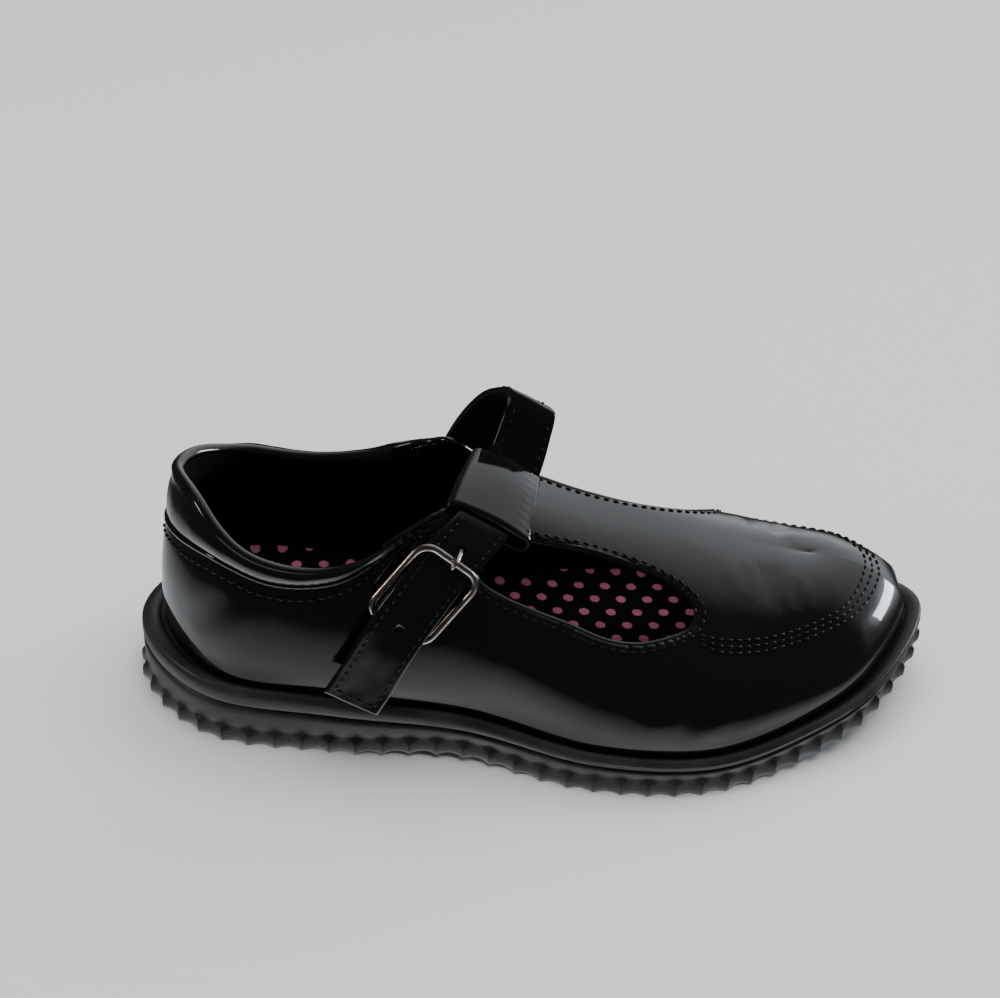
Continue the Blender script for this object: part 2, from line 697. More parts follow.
def lowered(rows):
    """Topline rows dropped where the collar's roll covers the wall's edge."""
    return [(s, c - EDGE_DROP * float(1 - smooth_step(min(s, 1 - s), 0.165, COLLAR_END))) for s, c in rows]


EDGE_LATERAL = smooth_edge(lowered(TOPLINE_LATERAL) + WINDOW_LATERAL)
EDGE_MEDIAL = smooth_edge([*WINDOW_MEDIAL, *lowered(TOPLINE_MEDIAL), (1.0, 0.458 - EDGE_DROP)])


def opening_polygons():
    tip = EDGE_LATERAL[-1, 0]
    lateral = np.vstack([EDGE_LATERAL, (tip, 1.2), (-0.1, 1.2), (-0.1, EDGE_LATERAL[0, 1])])
    start = EDGE_MEDIAL[0, 0]
    medial = np.vstack([EDGE_MEDIAL, (1.1, EDGE_MEDIAL[-1, 1]), (1.1, 1.2), (start, 1.2)])
    return lateral, medial


def end_line(share, climb):
    """The cut across the T-bar's end, from one edge up to the ridge."""
    climbs = np.linspace(climb, 1, 30)
    return np.column_stack([np.full(30, share), climbs])


# soft marks pressed into the upper: ends as (share, climb), depth and half width in mm
CREASES = [
    ((0.372, 0.66), (0.376, 0.89), 0.55, 3.2),
    ((0.384, 0.62), (0.390, 0.88), 0.45, 3.0),
    ((0.358, 0.72), (0.362, 0.87), 0.30, 2.6),
    ((0.398, 0.60), (0.402, 0.80), 0.25, 2.4),
    ((0.615, 0.70), (0.625, 0.89), 0.60, 3.0),
    ((0.635, 0.66), (0.640, 0.86), 0.50, 2.6),
    ((0.300, 0.12), (0.330, 0.34), 0.35, 4.0),
    ((0.325, 0.10), (0.352, 0.30), 0.30, 3.5),
    ((0.060, 0.10), (0.085, 0.24), 0.30, 4.5),
    ((0.690, 0.10), (0.670, 0.32), 0.35, 4.0),
]


def relief(places):
    """Height of the leather over the plain last: creases, and the soft unevenness of a worn upper."""
    height = np.zeros(len(places))
    for start, end, depth, width in CREASES:
        shares = np.linspace(start[0], end[0], 16)
        climbs = np.linspace(start[1], end[1], 16)
        line = last_point(shares, climbs, 0.0)
        distance = np.full(len(places), 1e9)
        fade = np.ones(len(places))
        for k, point in enumerate(line):
            gap = np.linalg.norm(places - point, axis=1)
            nearer = gap < distance
            distance[nearer] = gap[nearer]
            fade[nearer] = math.sin(math.pi * (k + 0.5) / len(line))
        ring = distance / width
        height += 0.9 * depth * fade * (0.45 * np.exp(-((ring - 1.6) ** 2)) - np.exp(-(ring**2)))
    for k, place in enumerate(places):
        slow = Vector(place * 0.028)
        height[k] += 0.40 * noise.noise(slow) + 0.05 * noise.noise(slow * 3.1 + Vector((7, 3, 1)))
    return height


def upper_sheet():
    """The wall's outer surface, cut along the topline and the windows."""
    lateral, medial = paired_shares()
    climbs = 1 - (1 - np.linspace(0, 1, CLIMBS + 1)) ** 1.0
    climbs = np.concatenate([[-0.12], climbs])
    per_side = len(climbs)
    lateral_shares = np.repeat(lateral[:, None], per_side, 1)
    medial_shares = np.repeat(medial[:, None], per_side - 1, 1)
    shares = np.concatenate([lateral_shares, medial_shares], 1)
    climb = np.tile(np.concatenate([climbs, climbs[::-1][1:]]), (SECTIONS + 1, 1))
    on_lateral = np.zeros(shares.shape, bool)
    on_lateral[:, :per_side] = True
    signed = np.where(on_lateral, shares, -shares)
    under = climb - natural_spline([r[0] for r in COLLAR_SEAM], [r[1] for r in COLLAR_SEAM])(signed)
    beneath = smooth_step(under, 0.0, 0.02) * (1 - smooth_step(shares, COLLAR_END - 0.02, COLLAR_END))
    places = last_point(shares, climb, -COLLAR_STEP * beneath)
    chart = np.stack([shares, climb], -1).reshape(-1, 2)
    sides = on_lateral.reshape(-1)
    polygons = opening_polygons()
    open_lateral = inside_polygon(chart, polygons[0])
    open_medial = inside_polygon(chart, polygons[1])
    ridge = np.abs(chart[:, 1] - 1) < 1e-9
    opened = np.where(sides, open_lateral, open_medial)
    opened |= ridge & (chart[:, 0] < EDGE_LATERAL[-1, 0])
    places = places.reshape(-1, 3)
    edges = [EDGE_LATERAL, EDGE_MEDIAL, end_line(*EDGE_LATERAL[-1]), end_line(*EDGE_MEDIAL[0])]
    lines = np.vstack([resampled(last_point(e[:, 0], e[:, 1], 0.0), 1400) for e in edges])
    columns = shares.shape[1]
    faces = np.array(grid_faces(SECTIONS + 1, columns))
    snapped = np.zeros(len(places), bool)
    nearest, distance = nearest_points(places, lines)
    for a, b in ((0, 1), (1, 2), (2, 3), (3, 0)):
        first, second = faces[:, a], faces[:, b]
        crossing = opened[first] != opened[second]
        nearer = np.where(distance[first] < distance[second], first, second)
        snapped[nearer[crossing]] = True
    snapped &= distance < 2.2
    places[snapped] = nearest[snapped]
    keep = ~np.any(opened[faces] & ~snapped[faces], axis=1)
    whole = np.all(snapped[faces], axis=1)
    centre_open = np.mean(opened[faces], axis=1) > 0.49
    keep &= ~(whole & centre_open)
    return places, faces[keep], lines


def nearest_points(places, lines):
    tree = KDTree(len(lines))
    for k, point in enumerate(lines):
        tree.insert(point, k)
    tree.balance()
    found = [tree.find(place) for place in places]
    return np.array([f[0] for f in found]), np.array([f[2] for f in found])


def upper():
    places, faces, _ = upper_sheet()
    vertices, faces = welded(places, faces, 0.02)
    used = sorted({corner for face in faces for corner in face})
    index = {old: new for new, old in enumerate(used)}
    vertices = vertices[used]
    faces = [[index[c] for c in face] for face in faces]
    faces = faces_outwards(vertices, faces)
    normals = vertex_normals(vertices, faces)
    seat = smooth_step(vertices[:, 2] - rim_height(vertices[:, 0]), 0.5, 4)
    under_collar = smooth_step(-vertices[:, 0], 40, 46) * smooth_step(vertices[:, 2], 46, 50)
    height = relief(vertices) * seat * (1 - under_collar) - 0.4 * under_collar
    vertices = vertices + normals * height[:, None]
    piece = put("upper_shell", vertices, faces, [PATENT, LINING], closed=False)
    wall = piece.modifiers.new("wall", "SOLIDIFY")
    wall.thickness = WALL * MM
    wall.offset = -1
    wall.material_offset = 1
    wall.material_offset_rim = 0
    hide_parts("upper")
    return piece


def faces_outwards(vertices, faces):
    """Turns a sheet's faces over if most of them look towards the inside of the last."""
    corners = vertices[np.array([face[:3] for face in faces])]
    normals = np.cross(corners[:, 1] - corners[:, 0], corners[:, 2] - corners[:, 0])
    along = np.clip(corners[:, 0, 0], -75, 70)
    core = np.column_stack([along, np.full(len(faces), 4.0), np.full(len(faces), 20.0)])
    outward = np.sum(normals * (corners[:, 0] - core)) > 0
    return faces if outward else [face[::-1] for face in faces]


def vertex_normals(vertices, faces):
    """Area-weighted normals, turned to point away from the last's inside."""
    vertices = np.asarray(vertices)
    normals = np.zeros_like(vertices)
    for face in faces:
        corners = vertices[face]
        normal = np.cross(corners[2] - corners[0], corners[-1] - corners[1])
        for corner in face:
            normals[corner] += normal
    return unit(normals)


def edge_beads(shell):
    """Folded edges of the windows, the ears and the T-bar."""
    parts = []
    lateral = smooth_edge(TOPLINE_LATERAL[-4:] + WINDOW_LATERAL)
    medial = smooth_edge(WINDOW_MEDIAL + TOPLINE_MEDIAL[:3])
    for edge in (lateral, medial):
        line = resampled(last_point(edge[:, 0], edge[:, 1], -0.86), 420)
        parts.append(tube(line, 0.98, 10))
    signed = np.linspace(-COLLAR_END, COLLAR_END, 400)
    seam = natural_spline([r[0] for r in COLLAR_SEAM], [r[1] for r in COLLAR_SEAM])(signed)
    line = resampled(last_point(signed, seam, -0.35), 420)
    parts.append(tube(line, 0.75, 10))
    piece = put("folded_edges", *joined(parts), [PATENT])
    return piece


# ------------------------------------------------------------------ stitches on the upper
def seated(path, tree, lift=0.0):
    """A path laid on a piece's surface, and the surface's normals there."""
    places = []
    normals = []
    for point in path:
        found, normal, _, _ = tree.find_nearest(Vector(point))
        places.append(np.array(found) + np.array(normal) * lift)
        normals.append(normal)
    return np.array(places), np.array(normals)


def beside(edge, away):
    """A row on the last beside an edge, moved along the surface into the leather."""
    place, outward, _ = last_frame(edge[:, 0], edge[:, 1], 0.0)
    onward = unit(np.gradient(place, axis=0))
    return place + np.cross(onward, outward) * away


def between(inner, outer, blend):
    a = smooth_edge(inner)
    b = smooth_edge(outer)
    mixed = a * (1 - blend) + b * blend
    return last_point(mixed[:, 0], mixed[:, 1], 0.0)


EAR_STITCHES = [(0.1700, 0.385), (0.1850, 0.50), (0.1960, 0.585), (0.2020, 0.50), (0.2080, 0.385)]
COLLAR_ROW_DROP = 0.036  # the stitch row lies this much climb below the collar's seam


def stitching(shell):
    tree = surface_of(shell)
    rows = []
    lateral = smooth_edge(WINDOW_LATERAL[1:])
    medial = smooth_edge(WINDOW_MEDIAL[:-1])
    rows.append(beside(lateral, 1.5))
    rows.append(beside(medial, 1.5))
    for blend in (0.0, 0.5, 1.0):
        rows.append(between(APRON_INNER, APRON_OUTER, blend))
    seam = smooth_edge(COLLAR_SEAM)
    rows.append(last_point(seam[:, 0], seam[:, 1] - COLLAR_ROW_DROP, 0.0))
    ear_lateral = smooth_edge(EAR_STITCHES)
    rows.append(last_point(ear_lateral[:, 0], ear_lateral[:, 1], 0.0))
    parts = []
    for row in rows:
        path, normals = seated(resampled(row, max(60, int(run_lengths(row)[-1]))), tree)
        parts.append(stitch_row(path, outward_turned(path, normals)))
    return put("upper_stitches", *joined(parts), [THREAD])


def outward_turned(path, normals):
    """Normals turned to point away from the shoe's inside."""
    core = np.column_stack([np.clip(path[:, 0], -75, 70), np.full(len(path), 4.0), np.full(len(path), 25.0)])
    flip = np.sum((path - core) * normals, axis=1) < 0
    normals = normals.copy()
    normals[flip] *= -1
    return normals


# ------------------------------------------------------------------ collar
def collar_pad(x):
    return COLLAR_BACK + (COLLAR_PAD - COLLAR_BACK) * smooth_step(x, -104, -84)


def topline_climb(signed):
    rows = [(s, c) for s, c in TOPLINE_LATERAL] + [(s - 1, c) for s, c in TOPLINE_MEDIAL]
    rows = sorted(rows)
    return natural_spline([r[0] for r in rows], [r[1] for r in rows])(signed)


def collar():
    """The padded band round the heel: puffed outside, rolled over the topline, padded inside."""
    count = 300
    signed = np.linspace(-COLLAR_END, COLLAR_END, count)
    seam = natural_spline([r[0] for r in COLLAR_SEAM], [r[1] for r in COLLAR_SEAM])(signed)
    top = topline_climb(signed)
    foot_x = outline_at(signed, edge_inset)[:, 0]
    thin = 1 - smooth_step(np.abs(signed), 0.155, COLLAR_END)
    pad = collar_pad(foot_x) * (0.35 + 0.65 * thin)
    roll = 1.0 + 0.75 * thin
    place, outward, upward = last_frame(signed, top, -0.75)
    centre = place - upward * roll[:, None]
    rings = []
    for t in np.linspace(0, 1, 9)[:-1]:
        climb = seam + (top - seam) * t * 0.86
        wrinkle = np.array([0.16 * noise.noise(Vector((s * 90, t * 2.2, 0.0))) for s in signed])
        puff = -0.85 + (pad + 0.9 + wrinkle) * np.sin(math.pi * (0.03 + 0.80 * t)) ** 0.6
        rings.append(last_point(signed, climb, puff))
    for angle in np.radians([8, 32, 56, 80, 104, 128, 152, 176]):
        swell = (outward * math.cos(angle) + upward * math.sin(angle)) * roll[:, None]
        rings.append(centre + swell)
    depth = 0.16 * (0.35 + 0.65 * thin)
    for t in np.linspace(0.12, 1, 8):
        inner = -2.4 - 1.1 * math.sin(math.pi * t) * thin + 0.7 * t
        rings.append(last_point(signed, top - 0.03 - depth * t, inner))
    rings.append(last_point(signed, top - 0.03 - depth, -1.0))
    rings.append(last_point(signed, seam + 0.01, -0.9))
    grid = np.array(rings).transpose(1, 0, 2)
    columns = grid.shape[1]
    vertices = grid.reshape(-1, 3)
    faces = grid_faces(count, columns, False, True)
    faces.append(tuple(range(columns)))
    faces.append(tuple(range((count - 1) * columns, count * columns))[::-1])
    piece = put("padded_collar", vertices, faces, [PATENT, LINING])
    for polygon in piece.data.polygons:
        if len(polygon.vertices) == 4 and 15 <= polygon.index % columns <= 24:
            polygon.material_index = 1
    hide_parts("collar")
    return piece


# ------------------------------------------------------------------ sole
LUGS = round(PERIMETER / LUG_PITCH)
LUG_STEPS = 14


def sole_rings(count, rows):
    """Rings round the sole from rows of (inwards, height, reach of the nubs)."""
    shares = np.arange(count) / count
    phase = np.mod(np.arange(count), LUG_STEPS) / LUG_STEPS
    nub = 1 - np.sin(math.pi * phase) ** 0.8
    rings = []
    for inwards, height, reach in rows:
        base = outline_at(shares, 0.0)[:, 0]
        move = inwards(base) if callable(inwards) else inwards
        plan = outline_at(shares, lambda x, m=move, r=reach: m - r * nub)
        rings.append(np.column_stack([plan, height(plan[:, 0])]))
    return rings


def sole_sections(inwards, across, height):
    """A sheet across the sole at an inset, as sections from lateral to medial."""
    lateral = np.linspace(0, 0.5, 300)
    fine = np.linspace(0.5, 1, 6000)
    feet = outline_at(fine, inwards)
    order = np.argsort(feet[:, 0])
    near = outline_at(lateral, inwards)
    far_share = np.interp(near[:, 0], feet[order, 0], fine[order])
    far = outline_at(far_share, inwards)
    t = np.linspace(0, 1, across)[None, :, None]
    plan = near[:, None] * (1 - t) + far[:, None] * t
    width = np.linalg.norm(far - near, axis=1)[:, None]
    edge = np.minimum(t[..., 0], 1 - t[..., 0]) * width
    ends = np.minimum(plan[..., 0] - near[0, 0], near[-1, 0] - plan[..., 0])
    edge = np.minimum(edge, ends * 1.2)
    z = height(plan[..., 0], plan[..., 1], edge)
    return np.concatenate([plan, z[..., None]], -1)


TREAD_PITCH = 9.0
TREAD_DEPTH = 1.5


def tread(x, y, edge):
    """Ground surface with wavy bars between channels, as on a simple moulded tread."""
    wave = x + 2.2 * np.sin(y / 6.5)
    bar = smooth_step(np.abs(np.mod(wave / TREAD_PITCH, 1) - 0.5), 0.12, 0.2)
    waist = smooth_step(np.abs(x + 22), 20, 30)
    return ground_height(x) + TREAD_DEPTH * (1 - bar) * waist * smooth_step(edge, 5, 6.5)


def outsole():
    count = LUGS * LUG_STEPS
    lug = lambda share: (lambda x: ground_height(x) + share * LUG_HEIGHT)
    flat = lambda share: (lambda x: ground_height(x) + LUG_HEIGHT
                          + share * (split_height(x) - ground_height(x) - LUG_HEIGHT))
    rows = [
        (2.6, lug(0.0), 0.0), (1.15, lug(0.0), LUG_REACH), (0.8, lug(0.05), LUG_REACH),
        (0.65, lug(0.16), LUG_REACH), (0.6, lug(0.4), LUG_REACH), (0.65, lug(0.62), LUG_REACH),
        (0.7, lug(0.76), LUG_REACH * 0.9), (0.72, lug(0.88), LUG_REACH * 0.6),
        (0.7, lug(0.97), LUG_REACH * 0.22), (0.6, lug(1.06), 0.0), (0.45, flat(0.3), 0.0),
        (0.3, flat(0.6), 0.0), (0.25, flat(0.82), 0.0), (0.45, flat(0.93), 0.0), (1.1, flat(0.99), 0.0),
    ]
    rings = sole_rings(count, rows)
    vertices = np.vstack(rings)
    faces = grid_faces(len(rings), count, False, True)
    under = sole_sections(2.6, 70, tread)
    sheet = grid_faces(under.shape[0], under.shape[1])
    sheet = [face[::-1] for face in sheet]
    parts = joined([(vertices, faces), (under.reshape(-1, 3), sheet)])
    piece = put("rubber_outsole", *parts, [RUBBER], slot="rubber")
    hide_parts("outsole")


def seat_inset(x):
    return edge_inset(x) - 0.3


def midsole():
    count = LUGS * LUG_STEPS
    rim = lambda drop: (lambda x: rim_height(x) - drop)
    split = lambda rise: (lambda x: split_height(x) + rise)
    rows = [
        (1.3, split(0.05), 0), (0.7, split(0.25), 0), (0.25, split(0.7), 0), (0.05, split(1.4), 0),
        (0.0, rim(2.6), 0), (0.12, rim(1.7), 0), (0.42, rim(0.95), 0), (0.9, rim(0.5), 0),
        (lambda x: 0.45 * seat_inset(x), rim(0.3), 0), (lambda x: 0.66 * seat_inset(x), rim(0.3), 0),
        (lambda x: 0.76 * seat_inset(x), rim(0.55), 0), (lambda x: 0.84 * seat_inset(x), rim(1.0), 0),
        (lambda x: seat_inset(x) + 0.6, rim(1.1), 0), (lambda x: seat_inset(x) + 2.6, rim(1.1), 0),
    ]
    rings = sole_rings(count, rows)
    faces = grid_faces(len(rings), count, False, True)
    piece = put("midsole_flange", np.vstack(rings), faces, [RUBBER], slot="rubber")
    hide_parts("midsole")


def welt_line():
    """Fine moulded ribs in the channel between the flange and the upper."""
    count = round(PERIMETER / 1.5)
    shares = (np.arange(count * 6) / (count * 6))
    inwards = lambda x: 0.86 * seat_inset(x)
    plan = outline_at(shares, inwards)
    z = rim_height(plan[:, 0]) - 0.95
    path = np.column_stack([plan, z])
    ribs = 0.7 + 0.3 * np.cos(np.arange(count * 6) * 2 * math.pi / 6)
    vertices, faces = tube(path, 0.42, 8, closed=True, taper=ribs)
    return put("welt_line", vertices, faces, [THREAD], slot="rubber")


def insole():
    inset = lambda x: edge_inset(x) + WALL + 0.4

    def height(x, y, edge):
        cup = 1.6 * (1 - smooth_step(edge, 0, 4)) ** 1.4
        arch = 1.2 * smooth_step(y, 12, 28) * np.exp(-(((x + 16) / 34) ** 2))
        hollow = 0.9 * np.exp(-(((x + 74) / 22) ** 2) - ((y - 2) / 17) ** 2)
        ball = 0.7 * np.exp(-(((x - 34) / 26) ** 2) - (y / 22) ** 2)
        return platform_height(x) + 3.7 + cup + arch - hollow - ball

    sheet = sole_sections(inset, 56, height)
    piece = put("dotted_sock", sheet.reshape(-1, 3), [f[::-1] for f in grid_faces(*sheet.shape[:2])],
                [DOTS], slot="insole_print")
    body = piece.modifiers.new("thickness", "SOLIDIFY")
    body.thickness = 2.0 * MM
    body.offset = -1
    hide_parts("insole")


# ------------------------------------------------------------------ strap
def strap_shares():
    middle = np.array([(np.array(rear) + np.array(front)) / 2 for _, rear, front in STRAP])
    runs = run_lengths(middle)
    return runs / runs[-1], runs[-1]


SHARES, STRAP_LENGTH = strap_shares()
NAMES = [row[0] for row in STRAP]
REAR = [natural_spline(SHARES, [row[1][k] for row in STRAP]) for k in range(3)]
FRONT = [natural_spline(SHARES, [row[2][k] for row in STRAP]) for k in range(3)]


def strap_share(name):
    return SHARES[NAMES.index(name)]


def strap_frame(share):
    """Middle, direction, width direction, outward face and width at shares of the strap."""
    share = np.atleast_1d(np.asarray(share, float))
    rear = np.stack([axis(share) for axis in REAR], -1)
    front = np.stack([axis(share) for axis in FRONT], -1)
    after = np.clip(share + 0.004, 0, 1)
    before = np.clip(share - 0.004, 0, 1)
    ahead = np.stack([a(after) + b(after) for a, b in zip(REAR, FRONT)], -1)
    behind = np.stack([a(before) + b(before) for a, b in zip(REAR, FRONT)], -1)
    along = unit(ahead - behind)
    across = unit(front - rear)
    face = unit(np.cross(across, along))
    return (rear + front) / 2, along, across, face, np.linalg.norm(front - rear, axis=1)


def out_sign():
    _, _, _, face, _ = strap_frame(strap_share("hinge bar"))
    return 1.0 if face[0, 1] < 0 else -1.0


OUT = out_sign()


def band_profile(width, thickness):
    """Half-round-edged section of two layers, as (across, out) pairs for a unit of width."""
    half = thickness / 2
    side = [(0.62, 1.0), (0.3, 0.93), (0.08, 0.72), (0.0, 0.45), (0.06, 0.16), (0.3, 0.0),
            (0.06, -0.16), (0.0, -0.45), (0.08, -0.72), (0.3, -0.93), (0.62, -1.0)]
    points = []
    for t in np.linspace(-1, 1, 11):
        points.append((t * (width / 2 - 1.1), half + 0.10 * (1 - t * t)))
    points += [(width / 2 - inset, half * rise) for inset, rise in side]
    for t in np.linspace(1, -1, 7):
        points.append((t * (width / 2 - 1.1), -half))
    points += [(-width / 2 + inset, half * rise) for inset, rise in reversed(side)]
    return np.array(points)


def strap_surface(shares, thickness=STRAP_THICKNESS, lift=0.0):
    middle, along, across, face, widths = strap_frame(shares)
    rings = []
    for k in range(len(shares)):
        profile = band_profile(widths[k], thickness)
        ring = middle[k] + across[k] * profile[:, :1] + face[k] * OUT * (profile[:, 1:] + lift)
        rings.append(ring)
    return np.array(rings)


CREASE_LIFT = 1.1


def ankle_strap():
    shares = np.linspace(0, 1, 420)
    rings = strap_surface(shares)
    columns = rings.shape[1]
    apex = strap_share("crease")
    _, _, _, face, _ = strap_frame(shares)
    peak = CREASE_LIFT * np.exp(-np.abs(shares - apex) * STRAP_LENGTH / 2.2)
    sag = -0.5 * np.exp(-((np.abs(shares - apex) * STRAP_LENGTH - 6) / 3) ** 2)
    rings = rings + (face * OUT * (peak + sag)[:, None])[:, None]
    soft = np.array([
        [0.10 * noise.noise(Vector((s * 26, j * 0.35, 2.0))) for j in range(columns)] for s in shares
    ])
    rings = rings + face[:, None] * OUT * soft[..., None]
    vertices = rings.reshape(-1, 3)
    faces = grid_faces(len(shares), columns, False, True)
    faces.append(tuple(range(columns))[::-1])
    faces.append(tuple(range((len(shares) - 1) * columns, len(shares) * columns)))
    piece = put("ankle_strap_band", vertices, faces, [PATENT, SUEDE])
    for polygon in piece.data.polygons:
        if 21 <= polygon.index % columns <= 30 and len(polygon.vertices) == 4:
            polygon.material_index = 1
    punch_holes(piece)
    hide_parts("ankle_strap")
    return piece


def punch_holes(piece):
    """Round holes through the strap, cut with short cylinders."""
    parts = []
    for beyond in STRAP_HOLES:
        middle, _, _, face, _ = strap_frame(strap_share("top bar") + beyond)
        path = middle[0] + face[0] * np.linspace(-4, 4, 5)[:, None]
        parts.append(tube(path, 1.15, 24))
    vertices, faces = joined(parts)
    mesh = bpy.data.meshes.new("punch")
    mesh.from_pydata((np.array(vertices) * MM).tolist(), [], faces)
    mesh.materials.append(SUEDE)
    cutter = bpy.data.objects.new("punch", mesh)
    bpy.context.scene.collection.objects.link(cutter)
    cut = piece.modifiers.new("holes", "BOOLEAN")
    cut.operation = "DIFFERENCE"
    cut.solver = "EXACT"
    cut.object = cutter
    shaped = bpy.data.meshes.new_from_object(piece.evaluated_get(bpy.context.evaluated_depsgraph_get()))
    piece.modifiers.clear()
    piece.data = shaped
    bpy.data.objects.remove(cutter)


def strap_stitches():
    apex = strap_share("crease")
    entry = strap_share("into loop")
    leave = strap_share("out of loop")
    parts = []
    for first, last in ((0.012, entry - 0.005), (leave + 0.01, apex - 0.02), (apex + 0.02, 0.97)):
        shares = np.linspace(first, last, 120)
        middle, _, across, face, widths = strap_frame(shares)
        for side in (-1, 1):
            inwards = (widths / 2 - 1.9) * side
            path = middle + across * inwards[:, None] + face * OUT * (STRAP_THICKNESS / 2 + 0.05)
            parts.append(stitch_row(path, face * OUT, pitch=2.4, length=1.6, radius=0.27))
    middle, along, across, face, widths = strap_frame(0.014)
    ends = np.linspace(-1, 1, 20)[:, None] * (widths[0] / 2 - 1.9)
    path = middle[0] + across[0] * ends + face[0] * OUT * (STRAP_THICKNESS / 2 + 0.05)
    parts.append(stitch_row(path, np.repeat(face * OUT, 20, 0), pitch=2.4, length=1.6, radius=0.27))
    return put("strap_stitches", *joined(parts), [THREAD])


# ------------------------------------------------------------------ loop
def loop_sections(count):
    ys = [row[0] for row in LOOP]
    values = [natural_spline(ys, [row[k] for row in LOOP]) for k in range(1, 5)]
    y = np.linspace(ys[0], ys[-1], count)
    front_x, front_z, rear_x, rear_z = [value(y) for value in values]
    front = np.column_stack([front_x, y, front_z])
    rear = np.column_stack([rear_x, y, rear_z])
    run = unit(rear - front)
    up = np.column_stack([run[:, 2], np.zeros(count), -run[:, 0]])
    return front + run * LOOP_OUTSIDE, rear - run * LOOP_OUTSIDE, run, up


PUCKERS = 9


def loop_ring(front, rear, run, up, half, bulge):
    """One section of the sleeve: flat above and below, round at both folds."""
    points = []
    for t in np.linspace(0, 1, 26)[:-1]:
        crown = bulge * math.sin(math.pi * t)
        points.append(front * (1 - t) + rear * t + up * (half + crown))
    for angle in np.linspace(0, math.pi, 12)[:-1]:
        points.append(rear + up * half * math.cos(angle) + run * half * math.sin(angle))
    for t in np.linspace(0, 1, 26)[:-1]:
        points.append(rear * (1 - t) + front * t - up * half)
    for angle in np.linspace(0, math.pi, 12)[:-1]:
        points.append(front - up * half * math.cos(angle) - run * half * math.sin(angle))
    return np.array(points)


def strap_loop():
    """The T-bar's end folded round the strap and sewn down, drawn into small puckers at the seam."""
    count = 64
    fronts, rears, runs, ups = loop_sections(count)
    outer = []
    inner = []
    for k in range(count):
        side = k / (count - 1)
        lip = 0.35 * (smooth_step(side, 0.03, 0.0) + smooth_step(side, 0.97, 1.0))
        ring = loop_ring(fronts[k], rears[k], runs[k], ups[k], LOOP_OUTSIDE - lip, 0.8)
        along = (ring - fronts[k]) @ runs[k]
        above = (ring - fronts[k]) @ ups[k] > 1.0
        pucker = 0.02 * math.sin(side * PUCKERS * 2 * math.pi) * np.exp(-(((along - 1.4) / 2.2) ** 2))
        seam = -0.15 * np.exp(-((along / 1.2) ** 2))
        ring = ring + ups[k] * ((pucker + seam) * above)[:, None]
        outer.append(ring)
        inner.append(loop_ring(fronts[k], rears[k], runs[k], ups[k], LOOP_INSIDE + lip * 0.5, 0.0))
    columns = len(outer[0])
    vertices = np.vstack(outer + inner)
    faces = grid_faces(count, columns, False, True)
    offset = count * columns
    faces += [face[::-1] for face in grid_faces(count, columns, False, True, offset)]
    for row, flip in ((0, False), ((count - 1) * columns, True)):
        for j in range(columns):
            a, b = row + j, row + (j + 1) % columns
            quad = (a, offset + a, offset + b, b)
            faces.append(quad[::-1] if flip else quad)
    piece = put("t_bar_loop", vertices, faces, [PATENT])
    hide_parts("strap_loop")
    return fronts, runs, ups


def loop_stitches(fronts, runs, ups):
    path = fronts + ups * (LOOP_OUTSIDE - 0.45) + runs * 0.1
    threads = stitch_row(path, ups, pitch=2.0, length=1.2, radius=0.2, lift=0.08)
    return put("loop_stitches", *threads, [THREAD])


# ------------------------------------------------------------------ buckle
def buckle_axes():
    """The wire's place: hinge bar under the strap, top bar over it."""
    hinge, _, hinge_across, hinge_face, _ = [v[0] for v in strap_frame(strap_share("hinge bar"))]
    top, _, top_across, top_face, _ = [v[0] for v in strap_frame(strap_share("top bar"))]
    offset = STRAP_THICKNESS / 2 + 0.6 + WIRE / 2
    hinge_bar = hinge - hinge_face * OUT * offset
    top_bar = top + top_face * OUT * offset
    up = unit(top_bar - hinge_bar)
    side = hinge_across + top_across
    side = unit(side - up * (up @ side))
    return hinge_bar, top_bar, up, side, np.cross(side, up)


HINGE_BAR, TOP_BAR, BUCKLE_UP, BUCKLE_SIDE, BUCKLE_OUT = buckle_axes()


def buckle_frame():
    half_width = (BUCKLE_WIDTH - WIRE) / 2
    half_length = np.linalg.norm(TOP_BAR - HINGE_BAR) / 2
    centre = (TOP_BAR + HINGE_BAR) / 2
    path = []
    for quarter in range(4):
        sign_u = 1 if quarter in (0, 3) else -1
        sign_v = 1 if quarter < 2 else -1
        for angle in np.linspace(0, math.pi / 2, 12) + quarter * math.pi / 2:
            u = sign_u * (half_width - BUCKLE_CORNER) + BUCKLE_CORNER * math.cos(angle)
            v = sign_v * (half_length - BUCKLE_CORNER) + BUCKLE_CORNER * math.sin(angle)
            path.append(centre + BUCKLE_SIDE * u + BUCKLE_UP * v)
    path = resampled(np.array(path + path[:1]), 121)[:-1]
    vertices, faces = tube(path, WIRE / 2, 18, closed=True)
    piece = put("nickel_buckle", vertices, faces, [NICKEL], slot="buckle_metal")
    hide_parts("buckle_frame")


def buckle_prong():
    under = STRAP_THICKNESS / 2 + 0.3 + PRONG_WIRE / 2
    over = WIRE / 2 + 0.6 + PRONG_WIRE / 2
    hole, _, _, hole_face, _ = [v[0] for v in strap_frame(strap_share("top bar") + STRAP_HOLES[1])]
    below = lambda share: strap_frame(share)[0][0] - hole_face * OUT * under
    hinge = strap_share("hinge bar")
    tip = TOP_BAR + BUCKLE_OUT * over
    rows = [below(hinge + 0.03), below(hinge + 0.07), hole, tip + BUCKLE_UP * 0.6, tip - BUCKLE_UP * 1.0]
    path = resampled(centripetal(rows, False, 16), 60)
    taper = 1 - 0.35 * smooth_step(np.linspace(0, 1, 60), 0.82, 1.0)
    vertices, faces = tube(path, PRONG_WIRE / 2, 14, taper=taper)
    piece = put("nickel_prong", vertices, faces, [NICKEL], slot="buckle_metal")
    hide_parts("buckle_prong")


